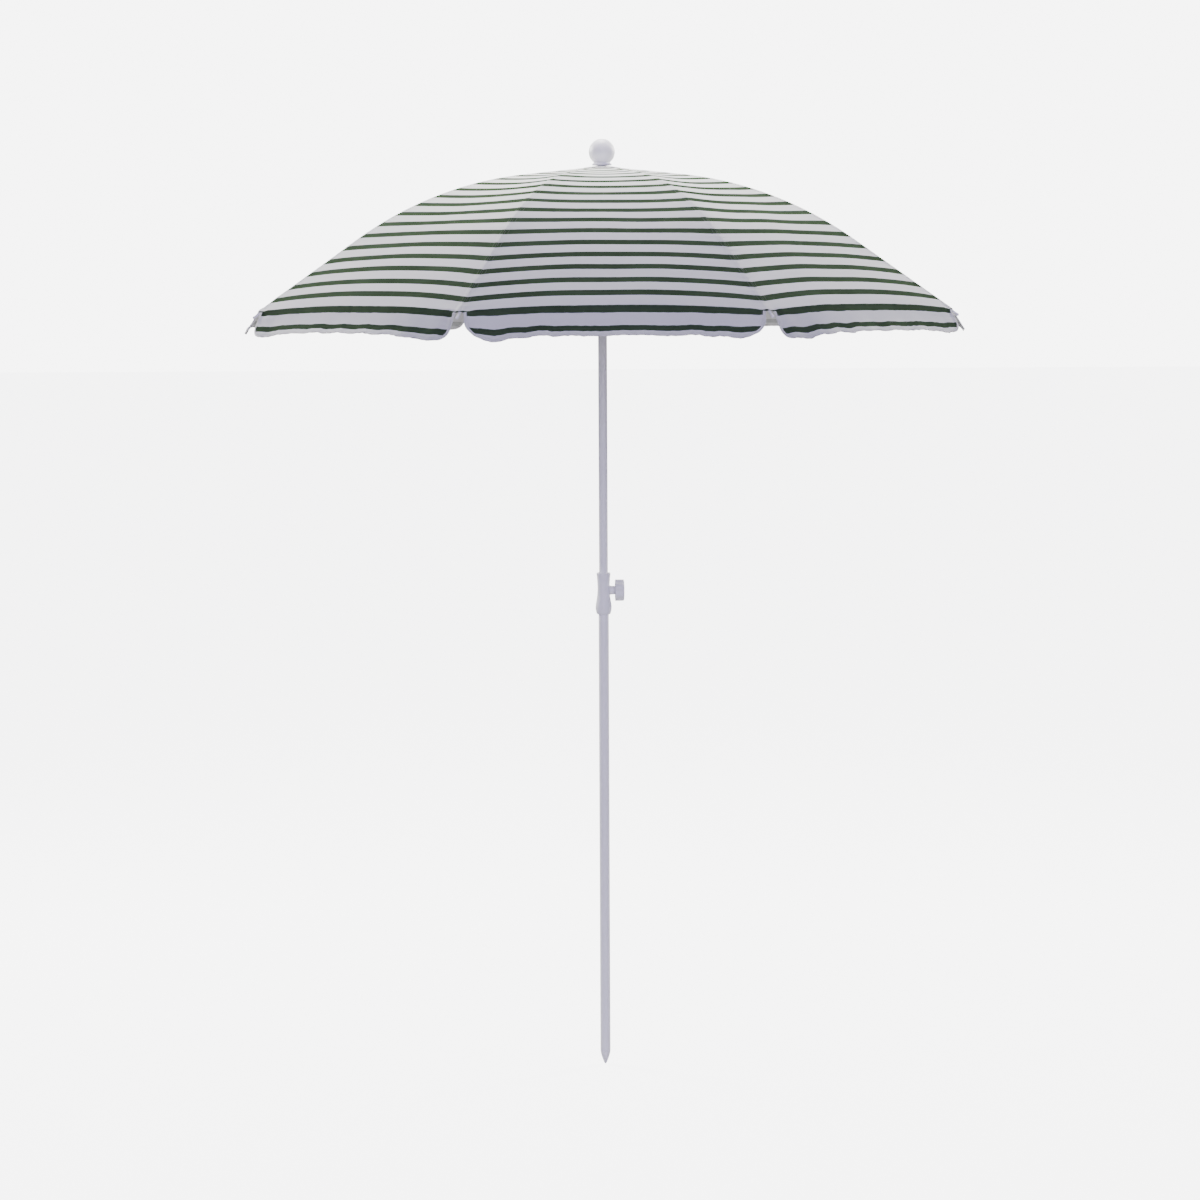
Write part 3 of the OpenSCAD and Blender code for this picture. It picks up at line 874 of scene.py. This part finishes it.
def clamp_knob(plastic):
    """Six-lobed knob with rounded edges and a shallow round recess in its face."""
    start, lobes, round_r, lobe_r, dip_share = 24.8, 6, 12, 23, 0.13
    edge = [
        (4.0, 0.0), (22.0, 0.0), (22.7, 0.3), (23.0, 1.0), (23.0, 16.4), (22.85, 17.5),
        (22.3, 18.5), (21.2, 19.2), (19.8, 19.5), (10.2, 19.5), (9.3, 19.3), (8.9, 18.6),
        (8.2, 18.3), (3.9, 18.2), (3.9, 11.4),
    ]

    def lobed(a, r):
        if r < round_r:
            return r
        dip = (0.5 + 0.5 * math.cos(lobes * a)) ** 1.6
        return r * (1 - dip_share * dip * ((r - round_r) / (lobe_r - round_r)))

    turns, n = 144, len(edge)
    points, faces = [], []
    for k in range(turns):
        a = 2 * math.pi * k / turns
        for r, x in edge:
            q = lobed(a, r)
            place = (start + x, q * math.cos(a), BOSS_Z + q * math.sin(a))
            points.append(tuple(c * MM for c in place))
    for k in range(turns):
        for j in range(n):
            a, b, m = k * n, ((k + 1) % turns) * n, (j + 1) % n
            faces.append((a + j, a + m, b + m, b + j))
    made = new_piece("star_knob", points, faces, [plastic])
    place_piece(made, "knob", "clamp_knob")


def ball_finial(plastic):
    """Moulded ball on a short neck that flares to a foot on the crown patch."""
    ball_r, ball_z, steps = 27.5, 1972.5, 24
    profile = [
        (9.55, 1944.8), (20.8, 1944.8), (21.4, 1945.2), (21.5, 1945.8), (21.0, 1946.6),
        (19.8, 1947.6), (18.4, 1948.8), (17.4, 1950.2), (17.0, 1951.2),
    ]
    for k in range(steps + 1):
        a = math.radians(-51.5 + 141.5 * k / steps)
        profile.append((max(ball_r * math.cos(a), 0.0), ball_z + ball_r * math.sin(a)))
    profile += [(0.0, 1963.2), (9.55, 1963.2)]
    points, faces = lathe(profile, 96)
    made = new_piece("ball_finial", points, faces, [plastic])
    place_piece(made, "upper_pole", "finial")


# ---------------------------------------------------------------- finish the frame's own nodes


# the finish of each kind of node; the small metal parts that are left out are zinc plated
FINISH_OF = {
    "upper_tube": "pole", "lower_tube": "pole", "ground_spike": "pole",
    "finial": "plastic", "clamp_collar": "plastic", "clamp_knob": "plastic",
    "crown_hub": "plastic", "runner": "plastic", "tip": "plastic",
    "rib": "frame", "stretcher": "frame",
    "gore": "cloth", "top_patch": "cloth",
    "clamp_pad": "brass",
}


def dress_nodes(finishes):
    """Gives every carried-over node its finish."""
    for name, node in frame["nodes"].items():
        kind = name.rsplit("_", 1)[0] if name[-1].isdigit() else name
        node.data.materials.clear()
        node.data.materials.append(finishes[FINISH_OF.get(kind, "zinc")])


# ---------------------------------------------------------------- studio

BACKDROP = 6.9  # brightness of what the lens sees behind the umbrella
FLOOR_LIT = 0.9  # the part of it that the lamps give the floor
ROOM, FRONT_FILL = 0.16, 4.7
FILL_TINT = (0.94, 0.89, 1.32)
LAMP_TINT = (1.0, 0.99, 0.94)
LAMP_AIM = Vector((0, 0, 1.75))
# name, watts, width in metres, place
LAMPS = (
    ("back_bank", 40, 1.6, (-0.8, 2.6, 5.0)),
    ("over", 26, 0.5, (0.0, 0.2, 2.8)),
    ("right_bank", 164, 1.0, (2.5, 1.7, 2.8)),
    ("left_bank", 198, 1.0, (-2.5, 1.7, 2.8)),
)


def surround():
    """Dim light from all sides and a broad glow behind the viewer, against a white backdrop."""
    finish = Finish("surround", world=True)
    facing = finish.value(
        "ShaderNodeVectorMath",
        {"operation": "DOT_PRODUCT"},
        {0: finish.value("ShaderNodeTexCoord"), 1: (0.0, -1.0, 0.04)},
        output=1,
    )
    glow = facing.most(0.0).math("POWER", 8.0) * FRONT_FILL + ROOM
    lit = finish.value(
        "ShaderNodeVectorMath", {"operation": "SCALE"}, {0: FILL_TINT, "Scale": glow}
    )
    seen = finish.value("ShaderNodeLightPath")
    shown = finish.mix(seen, lit, (BACKDROP, BACKDROP, BACKDROP))
    finish.feed(finish.shader.inputs["Color"], shown)
    bpy.context.scene.world = finish.material


def studio():
    """A pale floor that runs to the horizon, and soft lamps above and behind the umbrella."""
    far = 60.0
    points = [(-far, -far, 0), (far, -far, 0), (far, far, 0), (-far, far, 0)]
    floor = new_piece("floor", points, [(0, 1, 2, 3)], [studio_floor()])
    surround()
    for name, energy, size, place in LAMPS:
        data = bpy.data.lights.new(name, "AREA")
        data.energy, data.shape, data.size, data.color = energy, "DISK", size, LAMP_TINT
        lamp = bpy.data.objects.new(name, data)
        lamp.location = place
        lamp.rotation_euler = (LAMP_AIM - Vector(place)).to_track_quat("-Z", "Y").to_euler()
        lamp.visible_camera = False
        bpy.context.scene.collection.objects.link(lamp)


# ---------------------------------------------------------------- the umbrella

set_camera()
studio()
cloth_out = canopy_cloth("canopy_cloth")
cloth_in = canopy_cloth("canopy_cloth_inside", inside=True)
finishes = {
    "pole": pole_enamel(),
    "frame": frame_enamel(),
    "plastic": moulded_plastic(),
    "zinc": zinc_plate(),
    "brass": turned_brass(),
    "cloth": cloth_out,
}
dress_nodes(finishes)
for number in range(1, RIBS + 1):
    canopy_gore(number, cloth_out, cloth_in)
crown_patch(patch_cloth())
lower_pole(finishes["pole"])
crimped_spike(finishes["pole"])
height_collar(finishes["plastic"])
clamp_knob(finishes["plastic"])
ball_finial(finishes["plastic"])
